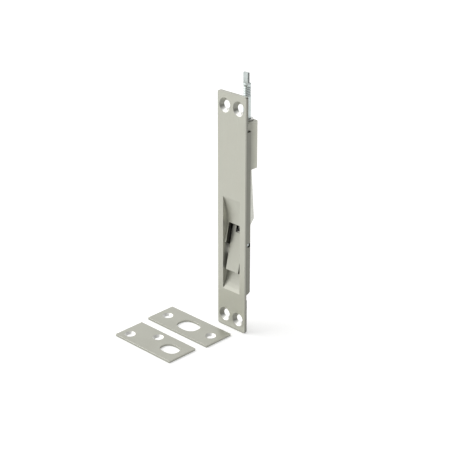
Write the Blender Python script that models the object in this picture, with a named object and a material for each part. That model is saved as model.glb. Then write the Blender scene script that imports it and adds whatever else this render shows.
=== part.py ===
"""Lever flush bolt with its loose strike plate and rub plate, built piece by piece.

Lengths below are millimetres. X runs across the faceplate, Y from its front face into the door,
Z along the rod. The pieces hang from one empty, which puts the origin on the faceplate's back
face, midway between the two lower screw holes.
"""
import math

import bmesh
import bpy
from mathutils import Vector

MM = 0.001

# faceplate
PLATE_W = 25.4
PLATE_H = 171.45
PLATE_T = 2.4
PLATE_CORNER = 1.2
REBATE_DEPTH = 0.4
LOWER_LAND_TOP = 25.2
UPPER_LAND_BOTTOM = 151.3
SCREW_X = 6.2
SCREW_END = 9.0
SCREW_HOLE_R = 2.7
SCREW_HEAD_R = 5.0
GAP = 0.3

# finger pocket, in the faceplate's own casting
POCKET_HALF_W = 7.9
POCKET_LOW = 28.8
POCKET_HIGH = 97.8
WINDOW_LOW = (5.6, 41.0)
WINDOW_HIGH = (4.35, 77.7)
LOWER_SCOOP_R = 62.0
UPPER_SCOOP_R = 49.0
CUP_HALF_W = 8.4
CUP_BACK = 6.0
EAR_INNER = 6.25
SCREW_CORE_R = 1.0
CASE_SCREW_X = 4.5
CASE_SCREW_Z = (33.5, 92.0)
BLOCK_SCREW_X = 4.9
BLOCK_SCREW_Z = (128.0, 148.1)

# lever: along it from the pivot, and square to it, towards the back
PIVOT = (7.4, 64.2)
LEVER_TILT = math.radians(12.2)
LEVER_HALF_W = 5.7
LEVER_FRONT = -2.3
LEVER_FREE_END = -21.6
LEVER_FORK_END = 11.4
NOTCH_HALF_W = 2.15
NOTCH_BOTTOM = 6.6
PIVOT_PIN_R = 1.3
PIVOT_HOLE_R = 1.4
PIVOT_PIN_HALF = 8.5

# crank, link and rod
LEVER_SWING = math.radians(144.0)
THROW = 19.05
CRANK_START = (math.pi - LEVER_SWING) / 2.0
CRANK_R = THROW / (2.0 * math.cos(CRANK_START))
DRIVE_PIN_R = 0.9
DRIVE_PIN = (PIVOT[0] + CRANK_R * math.sin(CRANK_START), PIVOT[1] + CRANK_R * math.cos(CRANK_START))
LINK_HALF_T = 1.5
LINK_EYE_R = 2.1
LINK_PIN = (14.65, 112.0)
LINK_PIN_R = 1.05
LINK_TOP = 117.2
SLOT_TOP = 119.0
ROD_Y = LINK_PIN[0]
ROD_R = 2.625
ROD_LOW = 108.8
THREAD_LOW = 166.8
THREAD_HIGH = 174.0
SHOULDER_HIGH = 175.5
ROD_TIP = 182.9
RUNNING_GAP = 0.08

# case behind the pocket
CASE_HALF_W = 9.5
CASE_WALL = 0.8
CASE_FRONT = PLATE_T - REBATE_DEPTH + GAP
CASE_BACK = 9.5
CASE_LOW = 25.5
CASE_HEEL = 28.4
CASE_HIGH = 145.4
CASE_CORNER = 1.2
CASE_WINDOW = (51.5, 79.0)

# guide block round the rod
BLOCK_HALF_W = 7.75
BLOCK_LOW = 117.8
BLOCK_HIGH = 150.5
BLOCK_BACK = 18.3
BLOCK_CORNER = 2.6
BUSHING_R = 3.3
BUSHING_FLANGE_R = 4.3
LOWER_BUSHING_TOP = 124.0
UPPER_BUSHING_LOW = 144.0

# friction plunger in the guide block's side
PLUNGER_Z = 134.0
PLUNGER_R = 1.8
SPRING_WIRE_R = 0.2
SPRING_COIL_R = 1.3
SPRING_ENDS = (-5.75, -4.65)
SPRING_TURNS = 3

# slotted cheese-head screws
SCREW_SHANK_R = 0.9
CHEESE_HEAD_R = 1.8
SLOT_HALF_W = 0.25
BLOCK_SCREW_SEAT = 16.55

# loose plates, lying in the plane of the faceplate's lower end
LOOSE_PLATE_T = 1.6
LOOSE_CORNER = 0.15
LOOSE_HOLE_R = 2.3
OVAL_POWER = 2.5
STRIKE_CENTRE = (-22.0, -52.2)
STRIKE_SIZE = (54.0, 24.4)
STRIKE_SCREWS = [(-41.9, -57.4), (-24.5, -47.0)]
STRIKE_OVAL = ((-7.0, -52.2), 7.3, 5.6)
RUB_CENTRE = (-21.6, -20.4)
RUB_SIZE = (58.7, 23.8)
RUB_SCREWS = [(-43.1, -20.4), (-0.2, -20.4)]
RUB_OVAL = ((-21.6, -20.4), 8.8, 6.8)

assembly = None
materials = {}


def clear_scene():
    for obj in list(bpy.data.objects):
        bpy.data.objects.remove(obj, do_unlink=True)


def make_material(name, colour, roughness, metallic):
    material = bpy.data.materials.new(name)
    material.use_nodes = True
    shader = material.node_tree.nodes["Principled BSDF"]
    shader.inputs["Base Color"].default_value = (*colour, 1.0)
    shader.inputs["Roughness"].default_value = roughness
    shader.inputs["Metallic"].default_value = metallic
    materials[name] = material


def make_materials():
    make_material("satin_nickel", (0.60, 0.60, 0.55), 0.42, 0.9)
    make_material("zinc_plated_steel", (0.62, 0.66, 0.66), 0.32, 1.0)
    make_material("bushing_metal", (0.66, 0.67, 0.64), 0.45, 1.0)
    make_material("nylon", (0.82, 0.80, 0.74), 0.55, 0.0)


# ---------------------------------------------------------------- shapes, in millimetres

def arc(start, end, radius, steps, inside=True):
    """Points of a circular arc from start to end, bulging to the left of the way, or to the right."""
    a, b = Vector(start), Vector(end)
    half = (b - a).length / 2.0
    side = Vector((-(b - a).y, (b - a).x)).normalized()
    reach = math.sqrt(radius * radius - half * half)
    centre = (a + b) / 2.0 + side * (-reach if inside else reach)
    first = math.atan2(a.y - centre.y, a.x - centre.x)
    sweep = 2.0 * math.asin(half / radius) * (-1.0 if inside else 1.0)
    return [
        (centre.x + radius * math.cos(first + sweep * i / steps),
         centre.y + radius * math.sin(first + sweep * i / steps))
        for i in range(steps + 1)
    ]


def circle_points(centre, radius, start, stop, steps):
    """Points on a circle, from the start angle to the stop angle in degrees."""
    return [
        (centre[0] + radius * math.cos(math.radians(start + (stop - start) * i / steps)),
         centre[1] + radius * math.sin(math.radians(start + (stop - start) * i / steps)))
        for i in range(steps + 1)
    ]


def rounded_rectangle(low, high, radii, steps=4):
    """Outline with one radius for each corner: low-left, low-right, high-right, high-left."""
    corners = [
        ((low[0], low[1]), (1, 1), 180),
        ((high[0], low[1]), (-1, 1), 270),
        ((high[0], high[1]), (-1, -1), 0),
        ((low[0], high[1]), (1, -1), 90),
    ]
    points = []
    for (corner, inward, start), radius in zip(corners, radii):
        if radius == 0:
            points.append(corner)
            continue
        centre = (corner[0] + inward[0] * radius, corner[1] + inward[1] * radius)
        points += circle_points(centre, radius, start, start + 90, steps)
    return points


def oval(centre, half_length, half_width, steps=40):
    """A long round hole with flattened sides, its length along the first axis."""
    points = []
    for i in range(steps):
        c, s = math.cos(2.0 * math.pi * i / steps), math.sin(2.0 * math.pi * i / steps)
        x = math.copysign(abs(c) ** (2.0 / OVAL_POWER), c)
        y = math.copysign(abs(s) ** (2.0 / OVAL_POWER), s)
        points.append((centre[0] + half_length * x, centre[1] + half_width * y))
    return points


def prism(outline, axis, low, high):
    """The outline in the plane square to the axis, as a closed solid from low to high along it."""
    lift = {
        "X": lambda p, h: (h, p[0], p[1]),
        "Y": lambda p, h: (p[0], h, p[1]),
        "Z": lambda p, h: (p[0], p[1], h),
    }[axis]
    bm = bmesh.new()
    rings = [[bm.verts.new(Vector(lift(p, h)) * MM) for p in outline] for h in (low, high)]
    bm.faces.new(rings[0])
    bm.faces.new(rings[1])
    for i in range(len(outline)):
        j = (i + 1) % len(outline)
        bm.faces.new((rings[0][i], rings[0][j], rings[1][j], rings[1][i]))
    bmesh.ops.recalc_face_normals(bm, faces=bm.faces)
    return bm


def turned(profile, axis, centre, segments=24):
    """A solid of revolution: (radius, height) pairs from one end to the other, both on solid ends."""
    frame = {
        "X": (Vector((1, 0, 0)), Vector((0, 1, 0)), Vector((0, 0, 1))),
        "Y": (Vector((0, 1, 0)), Vector((0, 0, 1)), Vector((1, 0, 0))),
        "Z": (Vector((0, 0, 1)), Vector((1, 0, 0)), Vector((0, 1, 0))),
    }[axis]
    along, u, v = frame
    bm = bmesh.new()
    rings = []
    for radius, height in profile:
        ring = []
        for i in range(segments):
            angle = 2.0 * math.pi * i / segments
            point = Vector(centre) + along * height
            point += (u * math.cos(angle) + v * math.sin(angle)) * radius
            ring.append(bm.verts.new(point * MM))
        rings.append(ring)
    for lower, upper in zip(rings, rings[1:]):
        for i in range(segments):
            j = (i + 1) % segments
            bm.faces.new((lower[i], lower[j], upper[j], upper[i]))
    bm.faces.new(rings[0])
    bm.faces.new(rings[-1])
    bmesh.ops.recalc_face_normals(bm, faces=bm.faces)
    return bm


def tube(inner, outer, axis, centre, low, high, segments=24):
    """A plain ring-shaped solid."""
    bm = turned([(outer, low), (outer, high)], axis, centre, segments)
    hole = turned([(inner, low), (inner, high)], axis, centre, segments)
    bmesh.ops.delete(bm, geom=[f for f in bm.faces if len(f.verts) > 4], context="FACES_ONLY")
    bmesh.ops.delete(hole, geom=[f for f in hole.faces if len(f.verts) > 4], context="FACES_ONLY")
    wall = bpy.data.meshes.new("ring_wall")
    hole.to_mesh(wall)
    hole.free()
    bm.from_mesh(wall)
    bpy.data.meshes.remove(wall)
    bm.verts.ensure_lookup_table()
    for offset in (0, segments):
        for i in range(segments):
            j = (i + 1) % segments
            k = 2 * segments
            a, b = bm.verts[offset + i], bm.verts[offset + j]
            bm.faces.new((a, b, bm.verts[k + offset + j], bm.verts[k + offset + i]))
    bmesh.ops.recalc_face_normals(bm, faces=bm.faces)
    return bm


# ---------------------------------------------------------------- objects and cuts

def add_object(name, bm, material=None, origin=(0.0, 0.0, 0.0), smooth=False):
    """One object under the assembly empty, with its own origin at the given point."""
    point = Vector(origin) * MM
    bmesh.ops.translate(bm, verts=bm.verts, vec=-point)
    mesh = bpy.data.meshes.new(name)
    bm.to_mesh(mesh)
    bm.free()
    if smooth:
        mesh.shade_smooth()
        mesh.set_sharp_from_angle(angle=math.radians(35))
    obj = bpy.data.objects.new(name, mesh)
    bpy.context.scene.collection.objects.link(obj)
    obj.parent = assembly
    obj.location = point
    if material:
        mesh.materials.append(materials[material])
    return obj


def combine(obj, operation, *shapes):
    """Boolean each shape with the object, through a hidden guide object."""
    for index, bm in enumerate(shapes):
        name = f"{obj.name}_{operation.lower()}_{len(obj.modifiers) + index:02d}"
        guide = add_object(name, bm)
        guide.hide_render = True
        guide.display_type = "WIRE"
        modifier = obj.modifiers.new(name, "BOOLEAN")
        modifier.operation = operation
        modifier.solver = "EXACT"
        modifier.object = guide


def cut(obj, *shapes):
    combine(obj, "DIFFERENCE", *shapes)


def weld(obj, *shapes):
    combine(obj, "UNION", *shapes)


def box(low, high):
    return prism([(low[0], low[1]), (high[0], low[1]), (high[0], high[1]), (low[0], high[1])],
                 "Z", low[2], high[2])


def peg(axis, centre, radius, low, high, segments=20):
    return turned([(radius, low), (radius, high)], axis, centre, segments)


# ---------------------------------------------------------------- the faceplate

def pocket_outline():
    """Side view of the finger pocket: lower scoop, window, upper scoop."""
    lower = arc((0.0, POCKET_LOW), WINDOW_LOW, LOWER_SCOOP_R, 5, inside=False)
    upper = arc(WINDOW_HIGH, (0.0, POCKET_HIGH), UPPER_SCOOP_R, 8, inside=False)
    deep = CUP_BACK + 1.0
    front = -1.0
    return [(front, POCKET_LOW), *lower, (deep, WINDOW_LOW[1]), (deep, WINDOW_HIGH[1]), *upper,
            (front, POCKET_HIGH)]


def ear_outline():
    """Side view of the lug that carries the pivot pin beside the lever."""
    return [(4.35, 78.5), (4.35, 77.7), (1.3, 63.6), (4.6, 61.3), (7.4, 61.0), (8.3, 61.9),
            (8.3, 66.6), (CUP_BACK - 0.2, 74.0), (CUP_BACK - 0.2, 78.5)]


def countersink(x, z):
    """A screw hole in the faceplate with its conical seat."""
    depth = SCREW_HEAD_R - SCREW_HOLE_R
    return turned([(SCREW_HEAD_R + 0.5, -0.5), (SCREW_HOLE_R, depth), (SCREW_HOLE_R, PLATE_T + 1.0)],
                  "Y", (x, 0.0, z), 32)


def case_screw_places():
    return [(x, z) for z in CASE_SCREW_Z for x in (-CASE_SCREW_X, CASE_SCREW_X)]


def block_screw_places():
    return [(x, z) for z in BLOCK_SCREW_Z for x in (-BLOCK_SCREW_X, BLOCK_SCREW_X)]


def make_faceplate():
    outline = rounded_rectangle((-PLATE_W / 2, 0.0), (PLATE_W / 2, PLATE_H), [PLATE_CORNER] * 4)
    plate = add_object("faceplate", prism(outline, "Y", 0.0, PLATE_T), "satin_nickel")
    wide = PLATE_W / 2 + 1.0
    past = PLATE_T + 1.0
    cut(plate, box((-wide, PLATE_T - REBATE_DEPTH, LOWER_LAND_TOP), (wide, past, UPPER_LAND_BOTTOM)))
    cup = [(1.0, 27.0), (PLATE_T, 27.0), (CUP_BACK, 28.5), (CUP_BACK, 99.3), (1.0, 99.3)]
    weld(plate, prism(cup, "X", -CUP_HALF_W, CUP_HALF_W))
    cut(plate, prism(pocket_outline(), "X", -POCKET_HALF_W, POCKET_HALF_W))
    weld(plate, prism(ear_outline(), "X", EAR_INNER, CUP_HALF_W - 0.05),
         prism(ear_outline(), "X", -CUP_HALF_W + 0.05, -EAR_INNER))
    cut(plate, peg("X", (0.0, *PIVOT), PIVOT_HOLE_R, -10.0, 10.0))
    for z in (SCREW_END, PLATE_H - SCREW_END):
        for x in (-SCREW_X, SCREW_X):
            cut(plate, countersink(x, z))
    for x, z in case_screw_places():
        cut(plate, peg("Y", (x, 0.0, z), SCREW_CORE_R, 3.3, CUP_BACK + 1.0, 12))
    for x, z in block_screw_places()[2:]:
        cut(plate, peg("Y", (x, 0.0, z), SCREW_CORE_R, 0.9, past, 12))


# ---------------------------------------------------------------- the case and the guide block

def make_case():
    r = CASE_CORNER
    outline = rounded_rectangle((-CASE_HALF_W, CASE_FRONT), (CASE_HALF_W, CASE_BACK), [0, 0, r, r])
    case = add_object("lever_case", prism(outline, "Z", CASE_LOW, CASE_HIGH), "satin_nickel")
    slope = (CASE_HEEL - CASE_LOW) / (CASE_BACK - CASE_FRONT)
    past = CASE_BACK + 1.0
    cut(case, prism([(1.0, 20.0), (past, 20.0), (past, CASE_HEEL + slope), (CASE_FRONT, CASE_LOW + 0.05),
                     (1.0, CASE_LOW - 0.5)], "X", -11.0, 11.0))
    inner = CASE_HALF_W - CASE_WALL
    inner_back = CASE_BACK - CASE_WALL
    floor = CASE_LOW + CASE_WALL * 1.1
    hollow = [(1.0, floor - slope), (inner_back, floor + slope * (inner_back - CASE_FRONT)),
              (inner_back, CASE_HIGH - CASE_WALL), (1.0, CASE_HIGH - CASE_WALL)]
    cut(case, prism(hollow, "X", -inner, inner))
    cut(case, box((-EAR_INNER, inner_back - 1.0, CASE_WINDOW[0]), (EAR_INNER, past, CASE_WINDOW[1])))
    cut(case, peg("X", (0.0, *PIVOT), PIVOT_PIN_R + 0.35, -11.0, 11.0))
    for x, z in case_screw_places():
        cut(case, peg("Y", (x, 0.0, z), SCREW_CORE_R, 7.0, past, 12))
    for x, z in block_screw_places()[:2]:
        cut(case, peg("Y", (x, 0.0, z), SCREW_SHANK_R + 0.2, 7.0, past, 12))


def make_guide_block():
    r = BLOCK_CORNER
    outline = rounded_rectangle((-BLOCK_HALF_W, CASE_FRONT), (BLOCK_HALF_W, BLOCK_BACK), [0, 0, r, r], 5)
    block = add_object("guide_block", prism(outline, "Z", BLOCK_LOW, BLOCK_HIGH), "satin_nickel")
    cut(block, box((-10.0, 0.0, BLOCK_LOW - 1.0), (10.0, CASE_BACK + GAP, CASE_HIGH + GAP)))
    centre = (0.0, ROD_Y, 0.0)
    cut(block, peg("Z", centre, ROD_R + 0.35, BLOCK_LOW - 1.0, BLOCK_HIGH + 1.0, 24))
    seat = BUSHING_R + RUNNING_GAP
    cut(block, peg("Z", centre, seat, BLOCK_LOW - 1.0, LOWER_BUSHING_TOP + 0.1, 24),
        peg("Z", centre, seat, UPPER_BUSHING_LOW - 0.1, BLOCK_HIGH + 1.0, 24))
    shank = SCREW_SHANK_R + 0.2
    head = CHEESE_HEAD_R + 0.15
    for x, z in block_screw_places():
        stepped = [(shank, 1.0), (shank, BLOCK_SCREW_SEAT - 0.05), (head, BLOCK_SCREW_SEAT - 0.05),
                   (head, BLOCK_BACK + 1.0)]
        cut(block, turned(stepped, "Y", (x, 0.0, z), 16))
    cut(block, peg("X", (0.0, ROD_Y, PLUNGER_Z), PLUNGER_R + 0.15, -BLOCK_HALF_W - 1.0, -ROD_R, 20))


def make_bushings():
    bore = ROD_R + RUNNING_GAP
    centre = (0.0, ROD_Y, 0.0)
    upper = add_object("upper_guide_bushing",
                       tube(bore, BUSHING_R, "Z", centre, UPPER_BUSHING_LOW, BLOCK_HIGH + 0.3, 32),
                       "bushing_metal", smooth=True)
    flange = tube(bore + 0.02, BUSHING_FLANGE_R, "Z", centre, BLOCK_HIGH + 0.15, BLOCK_HIGH + 0.9, 32)
    weld(upper, flange)
    add_object("lower_guide_bushing",
               tube(bore, BUSHING_R, "Z", centre, BLOCK_LOW, LOWER_BUSHING_TOP, 32),
               "bushing_metal", smooth=True)


# ---------------------------------------------------------------- the lever and its pins

def lever_point(along, deep):
    """A point of the lever in side view, from its distances along and square to its front face."""
    c, s = math.cos(LEVER_TILT), math.sin(LEVER_TILT)
    return (PIVOT[0] + along * s + deep * c, PIVOT[1] + along * c - deep * s)


def lever_outline():
    """Side view of the lever: flat front, thin finger end, hub, and rounded fork end."""
    hub = [lever_point(-8.0, 0.45), lever_point(-4.0, 1.6), lever_point(3.0, 1.8), lever_point(6.5, 2.2)]
    start = math.degrees(LEVER_TILT)
    tip = circle_points(DRIVE_PIN, 1.75, -20.0 - start, 75.0 - start, 6)
    front = [lever_point(LEVER_FORK_END, -0.6), lever_point(LEVER_FORK_END, LEVER_FRONT + 0.3),
             lever_point(LEVER_FORK_END - 0.3, LEVER_FRONT)]
    free = [lever_point(LEVER_FREE_END + 0.35, LEVER_FRONT), lever_point(LEVER_FREE_END, LEVER_FRONT + 0.35),
            lever_point(LEVER_FREE_END, 0.1), lever_point(LEVER_FREE_END + 0.35, 0.4)]
    return free + hub + tip + front


def make_lever():
    outline = lever_outline()
    lever = add_object("lever", prism(outline, "X", -LEVER_HALF_W, LEVER_HALF_W), "satin_nickel",
                       origin=(0.0, *PIVOT))
    notch = [lever_point(NOTCH_BOTTOM, LEVER_FRONT - 1.0), lever_point(NOTCH_BOTTOM, -1.6),
             lever_point(3.2, 0.9), lever_point(2.4, 4.0), lever_point(16.0, 4.0),
             lever_point(16.0, LEVER_FRONT - 1.0)]
    cut(lever, prism(notch, "X", -NOTCH_HALF_W, NOTCH_HALF_W))
    cut(lever, peg("X", (0.0, *PIVOT), PIVOT_HOLE_R, -8.0, 8.0))
    cut(lever, peg("X", (0.0, *DRIVE_PIN), DRIVE_PIN_R + RUNNING_GAP, -8.0, 8.0))


def make_pins():
    add_object("lever_pivot_pin",
               peg("X", (0.0, *PIVOT), PIVOT_PIN_R, -PIVOT_PIN_HALF, PIVOT_PIN_HALF, 24),
               "zinc_plated_steel", origin=(0.0, *PIVOT), smooth=True)
    end = LEVER_HALF_W - 0.2
    add_object("drive_pin", peg("X", (0.0, *DRIVE_PIN), DRIVE_PIN_R, -end, end, 20),
               "zinc_plated_steel", origin=(0.0, *DRIVE_PIN), smooth=True)
    add_object("link_pin", peg("X", (0.0, *LINK_PIN), LINK_PIN_R, -2.35, 2.35, 20),
               "zinc_plated_steel", origin=(0.0, *LINK_PIN), smooth=True)


# ---------------------------------------------------------------- the link and the rod

def link_outline():
    """Side view of the bent link: lower eye, belly behind the hub, and open hook at the top."""
    mouth_half = 3.1
    seat_r = LINK_PIN_R + 0.3
    eye = circle_points(DRIVE_PIN, LINK_EYE_R, 128.0, 285.0, 9)
    heel = circle_points((18.7, 78.45), 2.1, -62.0, 4.0, 6)
    chamfer = LINK_TOP - 0.6
    top = [(17.95, chamfer), (17.5, LINK_TOP), (12.6, LINK_TOP), (12.0, chamfer)]
    seat = circle_points(LINK_PIN, seat_r, 105.0, -105.0, 8)
    mouth = [(12.0, LINK_PIN[1] + mouth_half), *seat, (12.0, LINK_PIN[1] - mouth_half)]
    front = [(12.2, 106.0), (12.6, 82.0), (12.5, 79.2), (12.0, 77.6)]
    return eye + [(17.7, 74.1)] + heel + top + mouth + front


def make_link():
    link = add_object("drive_link", prism(link_outline(), "X", -LINK_HALF_T, LINK_HALF_T),
                      "zinc_plated_steel", origin=(0.0, *DRIVE_PIN))
    cut(link, peg("X", (0.0, *DRIVE_PIN), DRIVE_PIN_R + RUNNING_GAP, -4.0, 4.0))


def rod_profile():
    """Radius against height: plain shank, rolled thread, and shoulder."""
    turns = 6
    pitch = (THREAD_HIGH - THREAD_LOW) / turns
    root = ROD_R - 0.38
    profile = [(ROD_R - 0.3, ROD_LOW), (ROD_R, ROD_LOW + 0.3), (ROD_R, THREAD_LOW)]
    for turn in range(turns):
        base = THREAD_LOW + turn * pitch
        profile += [(root, base + 0.35 * pitch), (root, base + 0.55 * pitch)]
        profile.append((ROD_R - 0.05, base + 0.9 * pitch))
    profile += [(ROD_R, THREAD_HIGH), (ROD_R, SHOULDER_HIGH - 0.4), (ROD_R - 0.4, SHOULDER_HIGH)]
    return profile


def make_rod():
    centre = (0.0, ROD_Y, 0.0)
    rod = add_object("rod", turned(rod_profile(), "Z", centre, 32), "zinc_plated_steel",
                     origin=(0.0, ROD_Y, LINK_PIN[1]), smooth=True)
    tang = rounded_rectangle((-2.1, ROD_Y - 1.7), (2.1, ROD_Y + 0.1), [0.25] * 4, 2)
    weld(rod, prism(tang, "Z", SHOULDER_HIGH - 0.5, ROD_TIP))
    slot = LINK_HALF_T + 0.25
    cut(rod, box((-slot, 10.0, ROD_LOW - 1.0), (slot, 20.0, SLOT_TOP)))
    cut(rod, peg("X", (0.0, *LINK_PIN), LINK_PIN_R + RUNNING_GAP, -4.0, 4.0))


# ---------------------------------------------------------------- friction plunger and screws

def make_friction_plunger():
    """A nylon pad pressed on the rod by a coil spring and a set screw, in the block's side."""
    centre = (0.0, ROD_Y, PLUNGER_Z)
    add_object("friction_pad", peg("X", centre, PLUNGER_R, -4.3, -ROD_R - 0.05, 20), "nylon", smooth=True)
    profile = [(PLUNGER_R - 0.25, -7.6), (PLUNGER_R, -7.35), (PLUNGER_R, -6.1)]
    screw = add_object("friction_set_screw", turned(profile, "X", centre, 20), "zinc_plated_steel",
                       smooth=True)
    cut(screw, peg("X", centre, 0.9, -8.5, -6.9, 6))
    steps = 14
    low, high = SPRING_ENDS
    curve = bpy.data.curves.new("friction_spring", "CURVE")
    curve.dimensions = "3D"
    curve.bevel_depth = SPRING_WIRE_R * MM
    curve.bevel_resolution = 2
    curve.use_fill_caps = True
    curve.render_resolution_u = 0
    spline = curve.splines.new("POLY")
    spline.points.add(SPRING_TURNS * steps)
    for i, point in enumerate(spline.points):
        angle = 2.0 * math.pi * i / steps
        x = low + (high - low) * i / (SPRING_TURNS * steps)
        y = ROD_Y + SPRING_COIL_R * math.cos(angle)
        z = PLUNGER_Z + SPRING_COIL_R * math.sin(angle)
        point.co = (x * MM, y * MM, z * MM, 1.0)
    spring = bpy.data.objects.new("friction_spring", curve)
    bpy.context.scene.collection.objects.link(spring)
    spring.parent = assembly
    curve.materials.append(materials["zinc_plated_steel"])


def slotted_screw(name, x, z, seat, tip, head_h):
    """A cheese-head screw along Y, its head behind the seat plane, with a slot across it."""
    shank, head, top = SCREW_SHANK_R, CHEESE_HEAD_R, seat + head_h
    profile = [(shank - 0.25, tip), (shank, tip + 0.25), (shank, seat), (head, seat),
               (head, top - 0.2), (head - 0.2, top)]
    screw = add_object(name, turned(profile, "Y", (x, 0.0, z), 20), "zinc_plated_steel",
                       origin=(x, seat, z), smooth=True)
    wide = head + 1.0
    cut(screw, box((x - wide, top - 0.5, z - SLOT_HALF_W), (x + wide, top + 1.0, z + SLOT_HALF_W)))


def make_screws():
    for number, (x, z) in enumerate(case_screw_places(), 1):
        slotted_screw(f"case_screw_{number}", x, z, CASE_BACK + 0.05, 3.6, 1.1)
    for number, (x, z) in enumerate(block_screw_places(), 1):
        tip = 7.6 if z < CASE_HIGH else 1.1
        slotted_screw(f"block_screw_{number}", x, z, BLOCK_SCREW_SEAT, tip, 1.4)


# ---------------------------------------------------------------- the loose plates

def loose_plate(name, centre, size, screw_holes, bolt_hole):
    """A flat plate with countersunk screw holes and an oval hole for the rod's tip."""
    low = (centre[0] - size[0] / 2, centre[1] - size[1] / 2)
    high = (centre[0] + size[0] / 2, centre[1] + size[1] / 2)
    outline = rounded_rectangle(low, high, [LOOSE_CORNER] * 4, 2)
    plate = add_object(name, prism(outline, "Z", 0.0, LOOSE_PLATE_T), "satin_nickel")
    for x, y in screw_holes:
        profile = [(LOOSE_HOLE_R, -1.0), (LOOSE_HOLE_R, LOOSE_PLATE_T - 1.5),
                   (LOOSE_HOLE_R + 2.0, LOOSE_PLATE_T + 0.5)]
        cut(plate, turned(profile, "Z", (x, y, 0.0), 28))
    cut(plate, prism(oval(*bolt_hole), "Z", -1.0, LOOSE_PLATE_T + 1.0))


def make_loose_plates():
    loose_plate("strike_plate", STRIKE_CENTRE, STRIKE_SIZE, STRIKE_SCREWS, STRIKE_OVAL)
    loose_plate("rub_plate", RUB_CENTRE, RUB_SIZE, RUB_SCREWS, RUB_OVAL)


def main():
    global assembly
    clear_scene()
    make_materials()
    assembly = bpy.data.objects.new("assembly", None)
    bpy.context.scene.collection.objects.link(assembly)
    assembly.location = Vector((0.0, -PLATE_T, -SCREW_END)) * MM
    make_faceplate()
    make_case()
    make_guide_block()
    make_bushings()
    make_lever()
    make_pins()
    make_link()
    make_rod()
    make_friction_plunger()
    make_screws()
    make_loose_plates()


main()
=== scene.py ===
"""Looks of the lever flush bolt: satin nickel and zinc finishes, rounded edges, floor, light and camera."""
import math

import bmesh
import bpy
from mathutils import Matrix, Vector


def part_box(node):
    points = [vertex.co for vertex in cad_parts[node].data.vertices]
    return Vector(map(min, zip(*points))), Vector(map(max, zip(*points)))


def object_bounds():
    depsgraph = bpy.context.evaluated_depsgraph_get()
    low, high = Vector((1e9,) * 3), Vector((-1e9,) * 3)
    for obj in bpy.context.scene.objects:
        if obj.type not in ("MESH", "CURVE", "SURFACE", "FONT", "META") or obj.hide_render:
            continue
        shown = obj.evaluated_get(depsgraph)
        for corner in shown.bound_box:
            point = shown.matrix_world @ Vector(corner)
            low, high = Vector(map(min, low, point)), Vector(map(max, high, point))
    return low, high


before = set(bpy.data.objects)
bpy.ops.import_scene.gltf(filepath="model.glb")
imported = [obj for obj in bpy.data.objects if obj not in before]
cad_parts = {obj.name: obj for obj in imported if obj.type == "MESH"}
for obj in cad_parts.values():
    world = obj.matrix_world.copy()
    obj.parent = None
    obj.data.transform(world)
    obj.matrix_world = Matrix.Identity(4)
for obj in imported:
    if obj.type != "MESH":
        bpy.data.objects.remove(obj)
cad_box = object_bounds()

MM = 0.001

# camera: azimuth and elevation of the view, and where it looks, from the middle of the faceplate's front
CAMERA_AZIMUTH = math.radians(44.31)
CAMERA_ELEVATION = math.radians(23.61)
CAMERA_DISTANCE = 831.0 * MM
CAMERA_LENS = 97.706
CAMERA_LEFT = 5.98 * MM
CAMERA_BELOW_MIDDLE = 8.755 * MM

# light: world strength on either side, the key's direction in degrees, and the floor's own glow
WORLD_LEFT = 1.05
WORLD_RIGHT = 0.25
KEY_STRENGTH = 1.22
KEY_AZIMUTH = -62.0
KEY_ELEVATION = 42.0
KEY_SPREAD = 60.0
FLOOR_GLOW = 0.3
FLOOR_HALF = 6.0

# places on the faceplate painted in shade, and its screw seats painted with a highlight, in mm from its
# middle line, its front face and its middle height
EAR_FACE = 6.5
HOLES_OUT = 11.7
EDGE_FACE = 12.4
EDGE_FRONT = 1.3
EARS_REACH = 60.0
HOLES_START = 66.0
HOLES_END = 83.0
MASK_STEP = 0.2
# painted shade on the guide block's sides beside the case, between these depths behind its front
SHADE_START = 8.5
SHADE_END = 13.0
# the lever's lean and its notch, from the pivot
LEVER_TILT = 12.2
NOTCH_HALF = 2.2
NOTCH_FLOOR = 6.55
# the rod's flat tang, from the tip down, whose sides are painted in shade
TANG_LENGTH = 7.3

# bevel width of each rounded node, in mm, and the fold angles that count as flat or as an edge
FLAT_ANGLE = math.radians(1.0)
EDGE_ANGLE = math.radians(32.0)
EDGE_ROUNDING = {
    "faceplate": 0.16, "lever": 0.2, "strike_plate": 0.08, "rub_plate": 0.08,
    "lever_case": 0.25, "guide_block": 0.3, "drive_link": 0.25,
}


# ---------------------------------------------------------------- node helpers

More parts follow.
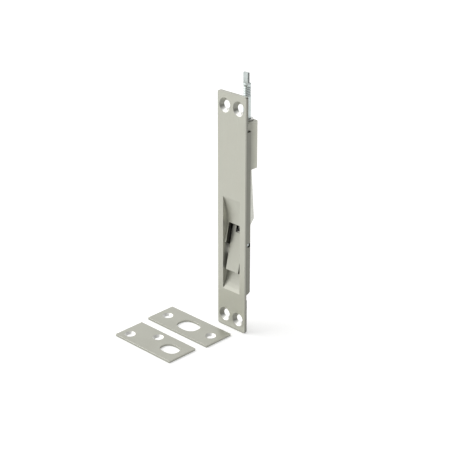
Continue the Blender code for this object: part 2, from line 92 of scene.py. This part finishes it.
class Nodes:
    """Short calls for building one material's nodes."""

    def __init__(self, material):
        material.use_nodes = True
        self.tree = material.node_tree
        self.shader = self.tree.nodes["Principled BSDF"]

    def add(self, kind, **values):
        node = self.tree.nodes.new(kind)
        for key, value in values.items():
            setattr(node, key, value)
        return node

    def link(self, source, target):
        self.tree.links.new(source, target)

    def coordinates(self, stretch=(1.0, 1.0, 1.0)):
        """Object coordinates in millimetres, squeezed along an axis for a grain that runs along it."""
        place = self.add("ShaderNodeTexCoord")
        mapping = self.add("ShaderNodeMapping")
        mapping.inputs["Scale"].default_value = [s / MM for s in stretch]
        self.link(place.outputs["Object"], mapping.inputs["Vector"])
        return mapping.outputs["Vector"]

    def noise(self, vector, scale, detail=3.0, roughness=0.5):
        node = self.add("ShaderNodeTexNoise")
        node.inputs["Scale"].default_value = scale
        node.inputs["Detail"].default_value = detail
        node.inputs["Roughness"].default_value = roughness
        self.link(vector, node.inputs["Vector"])
        return node.outputs["Fac"]

    def remap(self, value, low, high, to_low, to_high):
        node = self.add("ShaderNodeMapRange")
        node.inputs["From Min"].default_value = low
        node.inputs["From Max"].default_value = high
        node.inputs["To Min"].default_value = to_low
        node.inputs["To Max"].default_value = to_high
        self.link(value, node.inputs["Value"])
        return node.outputs["Result"]

    def mix_colour(self, factor, first, second):
        node = self.add("ShaderNodeMix", data_type="RGBA")
        self.link(factor, node.inputs["Factor"])
        for socket, value in ((node.inputs[6], first), (node.inputs[7], second)):
            if isinstance(value, bpy.types.NodeSocket):
                self.link(value, socket)
            else:
                socket.default_value = (*value, 1.0)
        return node.outputs[2]

    def math(self, operation, first, second):
        node = self.add("ShaderNodeMath", operation=operation)
        for socket, value in zip(node.inputs, (first, second)):
            if isinstance(value, bpy.types.NodeSocket):
                self.link(value, socket)
            else:
                socket.default_value = value
        return node.outputs[0]

    def bump(self, height, distance, strength=1.0, after=None):
        node = self.add("ShaderNodeBump")
        node.inputs["Distance"].default_value = distance * MM
        node.inputs["Strength"].default_value = strength
        self.link(height, node.inputs["Height"])
        if after is not None:
            self.link(after, node.inputs["Normal"])
        return node.outputs["Normal"]

    def occlusion_for_painted_shade(self, reach, own_shape_only=False):
        """1 in the open, falling towards 0 deep in gaps and inner corners; the materials darken their
        colour by it as painted shade.
        """
        node = self.add("ShaderNodeAmbientOcclusion", samples=8, only_local=own_shape_only)
        node.inputs["Distance"].default_value = reach * MM
        return node.outputs["AO"]

    def split(self, vector):
        node = self.add("ShaderNodeSeparateXYZ")
        self.link(vector, node.inputs["Vector"])
        return [node.outputs[axis] for axis in "XYZ"]

    def times(self, *factors):
        product = factors[0]
        for factor in factors[1:]:
            product = self.math("MULTIPLY", product, factor)
        return product

    def sideways(self, low, high):
        """1 on surfaces square to X, 0 where they face another way."""
        place = self.add("ShaderNodeTexCoord")
        facing = self.math("ABSOLUTE", self.split(place.outputs["Normal"])[0], 0.0)
        return self.remap(facing, low, high, 0.0, 1.0)

    def edge_wear(self, radius):
        """1 on edges and corners rubbed bright, 0 on the flats."""
        rounded = self.add("ShaderNodeBevel", samples=4)
        rounded.inputs["Radius"].default_value = radius * MM
        flat = self.add("ShaderNodeNewGeometry")
        dot = self.add("ShaderNodeVectorMath", operation="DOT_PRODUCT")
        self.link(rounded.outputs["Normal"], dot.inputs[0])
        self.link(flat.outputs["Normal"], dot.inputs[1])
        return self.remap(dot.outputs["Value"], 0.995, 0.86, 0.0, 1.0)


# ---------------------------------------------------------------- materials

def scaled(colour, factor):
    return tuple(c * factor for c in colour)


def paint_recess_shade(n, tone, obj):
    """Painted shade: near-black on the ears' inner faces, dark on the screw holes' sides and on the back
    part of the plate's edges; painted highlight on the screw seats' upward slopes.
    """
    low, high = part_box(obj.name)
    middle = (low.z + high.z) / 2.0 - obj.matrix_world.translation.z
    front = low.y - obj.matrix_world.translation.y
    x, y, z = n.split(n.add("ShaderNodeTexCoord").outputs["Object"])
    across = n.math("ABSOLUTE", x, 0.0)
    along = n.math("ABSOLUTE", n.math("SUBTRACT", z, middle), 0.0)
    step = MASK_STEP * MM

    def below(value, limit):
        return n.remap(value, limit * MM, limit * MM + step, 1.0, 0.0)

    def above(value, limit):
        return n.remap(value, limit * MM - step, limit * MM, 0.0, 1.0)

    ears = n.times(n.sideways(0.45, 0.75), below(across, EAR_FACE), below(along, EARS_REACH))
    holes = n.times(n.sideways(0.25, 0.6), below(across, HOLES_OUT), above(along, HOLES_START), 0.55)
    edges = n.times(n.sideways(0.45, 0.75), above(across, EDGE_FACE))
    back = n.remap(y, front + EDGE_FRONT * MM - step, front + EDGE_FRONT * MM + step, 0.5, 0.95)
    # painted shade mixed into the colour: the ears' inner faces, the hole sides, the back of the plate's
    # edges
    tone = n.mix_colour(ears, tone, (0.03, 0.03, 0.025))
    tone = n.mix_colour(holes, tone, (0.08, 0.08, 0.07))
    tone = n.mix_colour(n.times(edges, back), tone, (0.16, 0.16, 0.14))
    # painted highlight: near-white on the upward-facing slopes of the screw seats
    facing_up = n.remap(n.split(n.add("ShaderNodeTexCoord").outputs["Normal"])[2], 0.3, 0.6, 0.0, 0.8)
    seats = n.times(facing_up, below(across, HOLES_OUT), above(along, HOLES_START), below(along, HOLES_END))
    return n.mix_colour(seats, tone, (0.95, 0.95, 0.92))


def bright_seats(n, tone):
    """Screw seats cut after plating: bright metal on the slopes between the top face and the hole."""
    up = n.split(n.add("ShaderNodeTexCoord").outputs["Normal"])[2]
    slope = n.times(n.remap(up, 0.2, 0.5, 0.0, 1.0), n.remap(up, 0.78, 0.95, 1.0, 0.0))
    return n.mix_colour(slope, tone, (0.95, 0.95, 0.92))


def paint_notch_shade(n, tone):
    """Painted shade: the inside of the notch at the lever's inner end is painted near-black."""
    low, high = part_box("lever_pivot_pin")
    pivot = (low + high) / 2.0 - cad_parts["lever"].matrix_world.translation
    x, y, z = n.split(n.add("ShaderNodeTexCoord").outputs["Object"])
    lean = math.radians(LEVER_TILT)
    up = n.math("MULTIPLY", n.math("SUBTRACT", z, pivot.z), math.cos(lean))
    along = n.math("ADD", up, n.math("MULTIPLY", n.math("SUBTRACT", y, pivot.y), math.sin(lean)))
    inside = n.remap(n.math("ABSOLUTE", x, 0.0), NOTCH_HALF * MM, (NOTCH_HALF + 0.1) * MM, 1.0, 0.0)
    above = n.remap(along, (NOTCH_FLOOR - 0.1) * MM, NOTCH_FLOOR * MM, 0.0, 1.0)
    # painted shade: near-black inside the notch
    return n.mix_colour(n.times(inside, above), tone, (0.015, 0.015, 0.013))


def satin_nickel(name, grain_axis, recess_shade_part=None, notch_shaded=False, seats=False):
    """Nickel plate over a brushed surface; the grain runs along one axis."""
    material = bpy.data.materials.new(name)
    n = Nodes(material)
    stretch = [1.0, 1.0, 1.0]
    stretch["XYZ".index(grain_axis)] = 0.03
    grain = n.noise(n.coordinates(stretch), 7.0, 4.0, 0.6)
    hairs = n.noise(n.coordinates([s * 2.5 for s in stretch]), 9.0, 2.0, 0.5)
    cloud = n.noise(n.coordinates(), 0.09, 3.0, 0.55)
    worn = n.math("MULTIPLY", n.edge_wear(0.35), n.remap(cloud, 0.35, 0.65, 0.4, 1.0))
    tone = n.mix_colour(n.remap(grain, 0.3, 0.7, 0.0, 1.0), (0.475, 0.477, 0.415), (0.52, 0.522, 0.457))
    tone = n.mix_colour(n.remap(cloud, 0.3, 0.7, 0.0, 0.35), tone, (0.49, 0.487, 0.420))
    tone = n.mix_colour(n.math("MULTIPLY", worn, 0.5), tone, (0.64, 0.64, 0.59))
    # painted shade: the colour goes towards near-black in gaps and inner corners
    tone = n.mix_colour(n.remap(n.occlusion_for_painted_shade(4.0), 0.25, 0.75, 0.75, 0.0), tone, (0.06, 0.06, 0.055))
    # the faceplate's painted shade and painted seat highlight
    if recess_shade_part is not None:
        tone = paint_recess_shade(n, tone, recess_shade_part)
    if seats:
        tone = bright_seats(n, tone)
    if notch_shaded:
        tone = paint_notch_shade(n, tone)
    n.link(tone, n.shader.inputs["Base Color"])
    rough = n.math("ADD", n.remap(grain, 0.3, 0.7, 0.30, 0.42), n.remap(cloud, 0.3, 0.7, -0.03, 0.03))
    rough = n.math("SUBTRACT", rough, n.math("MULTIPLY", worn, 0.08))
    n.link(rough, n.shader.inputs["Roughness"])
    first = n.bump(grain, 0.02, 0.35)
    n.link(n.bump(hairs, 0.008, 0.3, first), n.shader.inputs["Normal"])
    n.shader.inputs["Metallic"].default_value = 0.7
    n.shader.inputs["Anisotropic"].default_value = 0.25
    return material


def cast_nickel(name, tone_scale, reach, own_shape_only=False, near_plate=None):
    """Nickel plate over a zinc casting: a fine peened skin, and edges rubbed smooth; tone_scale scales its
    colours down.
    """
    material = bpy.data.materials.new(name)
    n = Nodes(material)
    skin = n.noise(n.coordinates(), 2.6, 5.0, 0.6)
    pits = n.noise(n.coordinates(), 7.5, 2.0, 0.5)
    cloud = n.noise(n.coordinates(), 0.12, 3.0, 0.55)
    worn = n.math("MULTIPLY", n.edge_wear(0.4), n.remap(cloud, 0.35, 0.65, 0.4, 1.0))
    tone = n.mix_colour(n.remap(skin, 0.3, 0.7, 0.0, 1.0), scaled((0.50, 0.502, 0.432), tone_scale),
                        scaled((0.55, 0.552, 0.48), tone_scale))
    tone = n.mix_colour(n.math("MULTIPLY", worn, 0.55), tone, scaled((0.70, 0.70, 0.66), tone_scale))
    # painted shade: the colour goes towards near-black in gaps and inner corners
    tone = n.mix_colour(n.remap(n.occlusion_for_painted_shade(reach, own_shape_only), 0.15, 0.9, 0.85, 0.0), tone,
                        (0.05, 0.05, 0.045))
    # painted shade: the block's sides are darkened near the plate and the case
    if near_plate is not None:
        y = n.split(n.add("ShaderNodeTexCoord").outputs["Object"])[1]
        shade = n.remap(y, near_plate + SHADE_START * MM, near_plate + SHADE_END * MM, 0.42, 0.0)
        tone = n.mix_colour(n.times(n.sideways(0.5, 0.9), shade), tone, (0.10, 0.10, 0.085))
    n.link(tone, n.shader.inputs["Base Color"])
    rough = n.math("ADD", n.remap(skin, 0.3, 0.7, 0.42, 0.54), n.remap(cloud, 0.3, 0.7, -0.03, 0.03))
    n.link(rough, n.shader.inputs["Roughness"])
    first = n.bump(skin, 0.05, 0.4)
    n.link(n.bump(pits, 0.02, 0.35, first), n.shader.inputs["Normal"])
    n.shader.inputs["Metallic"].default_value = 0.8
    return material


def zinc(name, grain_axis, tint=(0.60, 0.655, 0.65), tang_shade_from=None, reach=5.0):
    """Bright zinc plate on drawn or turned steel, faintly blue, with fine drawing lines."""
    material = bpy.data.materials.new(name)
    n = Nodes(material)
    stretch = [1.0, 1.0, 1.0]
    stretch["XYZ".index(grain_axis)] = 0.02
    lines = n.noise(n.coordinates(stretch), 8.0, 4.0, 0.6)
    spangle = n.noise(n.coordinates(), 0.55, 3.0, 0.6)
    worn = n.math("MULTIPLY", n.edge_wear(0.2), 0.45)
    bright = [min(1.0, c * 1.13) for c in tint]
    tone = n.mix_colour(n.remap(spangle, 0.35, 0.65, 0.0, 1.0), tint, bright)
    tone = n.mix_colour(worn, tone, (0.80, 0.81, 0.80))
    # painted shade: the colour goes towards near-black in gaps and inner corners
    tone = n.mix_colour(n.remap(n.occlusion_for_painted_shade(reach), 0.25, 0.75, 0.9, 0.0), tone, (0.03, 0.03, 0.028))
    # painted shade: the tang's side faces, from this height up, are darkened
    if tang_shade_from is not None:
        z = n.split(n.add("ShaderNodeTexCoord").outputs["Object"])[2]
        height = n.remap(z, tang_shade_from, tang_shade_from + 0.4 * MM, 0.0, 1.0)
        tone = n.mix_colour(n.times(n.sideways(0.6, 0.9), height, 0.85), tone, (0.10, 0.105, 0.10))
    n.link(tone, n.shader.inputs["Base Color"])
    rough = n.math("ADD", n.remap(lines, 0.3, 0.7, 0.24, 0.34), n.remap(spangle, 0.35, 0.65, -0.03, 0.04))
    n.link(rough, n.shader.inputs["Roughness"])
    n.link(n.bump(lines, 0.012, 0.3), n.shader.inputs["Normal"])
    n.shader.inputs["Metallic"].default_value = 0.95
    return material


def bushing_metal():
    """Sintered bushing: fine open pores in a pale metal."""
    material = bpy.data.materials.new("bushing_metal")
    n = Nodes(material)
    pores = n.noise(n.coordinates(), 9.0, 3.0, 0.6)
    cloud = n.noise(n.coordinates(), 0.8, 2.0, 0.5)
    tone = n.mix_colour(n.remap(pores, 0.42, 0.55, 0.0, 1.0), (0.58, 0.585, 0.56), (0.82, 0.825, 0.80))
    n.link(tone, n.shader.inputs["Base Color"])
    n.link(n.remap(cloud, 0.3, 0.7, 0.34, 0.46), n.shader.inputs["Roughness"])
    n.link(n.bump(pores, 0.02, 0.4), n.shader.inputs["Normal"])
    n.shader.inputs["Metallic"].default_value = 0.95
    return material


def nylon():
    """Natural moulded nylon, slightly see-through, with a faint moulded skin."""
    material = bpy.data.materials.new("natural_nylon")
    n = Nodes(material)
    skin = n.noise(n.coordinates(), 5.0, 3.0, 0.5)
    n.link(n.mix_colour(skin, (0.76, 0.73, 0.65), (0.84, 0.82, 0.75)), n.shader.inputs["Base Color"])
    n.link(n.remap(skin, 0.3, 0.7, 0.42, 0.58), n.shader.inputs["Roughness"])
    n.link(n.bump(skin, 0.02, 0.3), n.shader.inputs["Normal"])
    n.shader.inputs["Subsurface Weight"].default_value = 0.15
    n.shader.inputs["Subsurface Scale"].default_value = 0.5 * MM
    return material


# ---------------------------------------------------------------- CAD nodes

def soften_edges(obj, width):
    """Round the sharp edges of a faceted node by a fine bevel, with clean flats."""
    join = obj.modifiers.new("join", "WELD")
    join.merge_threshold = 0.001 * MM
    flats = obj.modifiers.new("flats", "DECIMATE")
    flats.decimate_type = "DISSOLVE"
    flats.angle_limit = FLAT_ANGLE
    bevel = obj.modifiers.new("edges", "BEVEL")
    bevel.limit_method = "ANGLE"
    bevel.angle_limit = EDGE_ANGLE
    bevel.width = width * MM
    bevel.segments = 2
    bevel.harden_normals = True
    bevel.use_clamp_overlap = True


def dress(node, material):
    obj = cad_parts[node]
    obj.data.materials.clear()
    obj.data.materials.append(material)
    if node in EDGE_ROUNDING:
        soften_edges(obj, EDGE_ROUNDING[node])


def dress_nodes():
    plate = satin_nickel("satin_nickel_plate", "Z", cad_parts["faceplate"])
    lever = satin_nickel("satin_nickel_lever", "Z", notch_shaded=True)
    flat = satin_nickel("satin_nickel_flat", "X", seats=True)
    near_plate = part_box("guide_block")[0].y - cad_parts["guide_block"].matrix_world.translation.y
    block = cast_nickel("cast_nickel_block", 0.94, 4.0, near_plate=near_plate)
    case = cast_nickel("cast_nickel_case", 0.45, 9.0, own_shape_only=True)
    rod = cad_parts["rod"]
    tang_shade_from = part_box("rod")[1].z - TANG_LENGTH * MM - rod.matrix_world.translation.z
    drawn = zinc("zinc_drawn", "Z", (0.50, 0.545, 0.535), tang_shade_from)
    link_zinc = zinc("zinc_link", "Z", (0.50, 0.505, 0.46), reach=9.0)
    turned = zinc("zinc_turned", "X")
    bushing = bushing_metal()
    finishes = {
        "faceplate": plate, "lever": lever, "strike_plate": flat, "rub_plate": flat,
        "lever_case": case, "guide_block": block, "drive_link": link_zinc, "rod": drawn,
        "upper_guide_bushing": bushing, "lower_guide_bushing": bushing, "friction_pad": nylon(),
    }
    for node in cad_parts:
        dress(node, finishes.get(node, turned))


# ---------------------------------------------------------------- stage, light, camera

def make_floor():
    floor_z = cad_box[0].z
    half = FLOOR_HALF
    bm = bmesh.new()
    outline = ((-half, -half), (half, -half), (half, half), (-half, half))
    bm.faces.new([bm.verts.new((x, y, floor_z)) for x, y in outline])
    mesh = bpy.data.meshes.new("floor")
    bm.to_mesh(mesh)
    bm.free()
    floor = bpy.data.objects.new("floor", mesh)
    bpy.context.scene.collection.objects.link(floor)
    material = bpy.data.materials.new("pale_floor")
    n = Nodes(material)
    n.shader.inputs["Base Color"].default_value = (0.93, 0.93, 0.925, 1.0)
    n.shader.inputs["Roughness"].default_value = 0.9
    n.shader.inputs["Specular IOR Level"].default_value = 0.1
    n.shader.inputs["Emission Color"].default_value = (1.0, 1.0, 1.0, 1.0)
    n.shader.inputs["Emission Strength"].default_value = FLOOR_GLOW
    mesh.materials.append(material)


def add_sun(name, azimuth, elevation, strength, spread):
    """A soft sun that comes from the given azimuth (0 in front, 90 from +X) and elevation, in degrees."""
    data = bpy.data.lights.new(name, "SUN")
    data.energy = strength
    data.angle = math.radians(spread)
    light = bpy.data.objects.new(name, data)
    a, e = math.radians(azimuth), math.radians(elevation)
    towards = Vector((math.sin(a) * math.cos(e), -math.cos(a) * math.cos(e), math.sin(e)))
    light.rotation_mode = "QUATERNION"
    light.rotation_quaternion = towards.to_track_quat("Z", "Y")
    bpy.context.scene.collection.objects.link(light)


def make_light():
    """A pale studio: light walls to the left and above, a darker one to the right, and a soft key."""
    world = bpy.data.worlds.new("studio")
    bpy.context.scene.world = world
    world.use_nodes = True
    tree = world.node_tree
    background = tree.nodes["Background"]
    background.inputs["Color"].default_value = (1.0, 1.0, 1.0, 1.0)
    place = tree.nodes.new("ShaderNodeTexCoord")
    split = tree.nodes.new("ShaderNodeSeparateXYZ")
    walls = tree.nodes.new("ShaderNodeMapRange")
    walls.inputs["From Min"].default_value = -0.8
    walls.inputs["From Max"].default_value = 0.8
    walls.inputs["To Min"].default_value = WORLD_LEFT
    walls.inputs["To Max"].default_value = WORLD_RIGHT
    tree.links.new(place.outputs["Generated"], split.inputs["Vector"])
    tree.links.new(split.outputs["X"], walls.inputs["Value"])
    tree.links.new(walls.outputs["Result"], background.inputs["Strength"])
    add_sun("key", KEY_AZIMUTH, KEY_ELEVATION, KEY_STRENGTH, KEY_SPREAD)


def make_camera():
    low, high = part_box("faceplate")
    target = Vector((-CAMERA_LEFT, low.y, (low.z + high.z) / 2 - CAMERA_BELOW_MIDDLE))
    back = Vector((
        math.sin(CAMERA_AZIMUTH) * math.cos(CAMERA_ELEVATION),
        -math.cos(CAMERA_AZIMUTH) * math.cos(CAMERA_ELEVATION),
        math.sin(CAMERA_ELEVATION),
    ))
    data = bpy.data.cameras.new("camera")
    data.lens = CAMERA_LENS
    data.sensor_width = 36.0
    data.clip_start = 10.0 * MM
    data.clip_end = 50.0
    camera = bpy.data.objects.new("camera", data)
    camera.location = target + back * CAMERA_DISTANCE
    camera.rotation_euler = (-back).to_track_quat("-Z", "Y").to_euler()
    bpy.context.scene.collection.objects.link(camera)
    bpy.context.scene.camera = camera


make_camera()
make_floor()
make_light()
dress_nodes()
bpy.context.scene.view_settings.view_transform = "Standard"
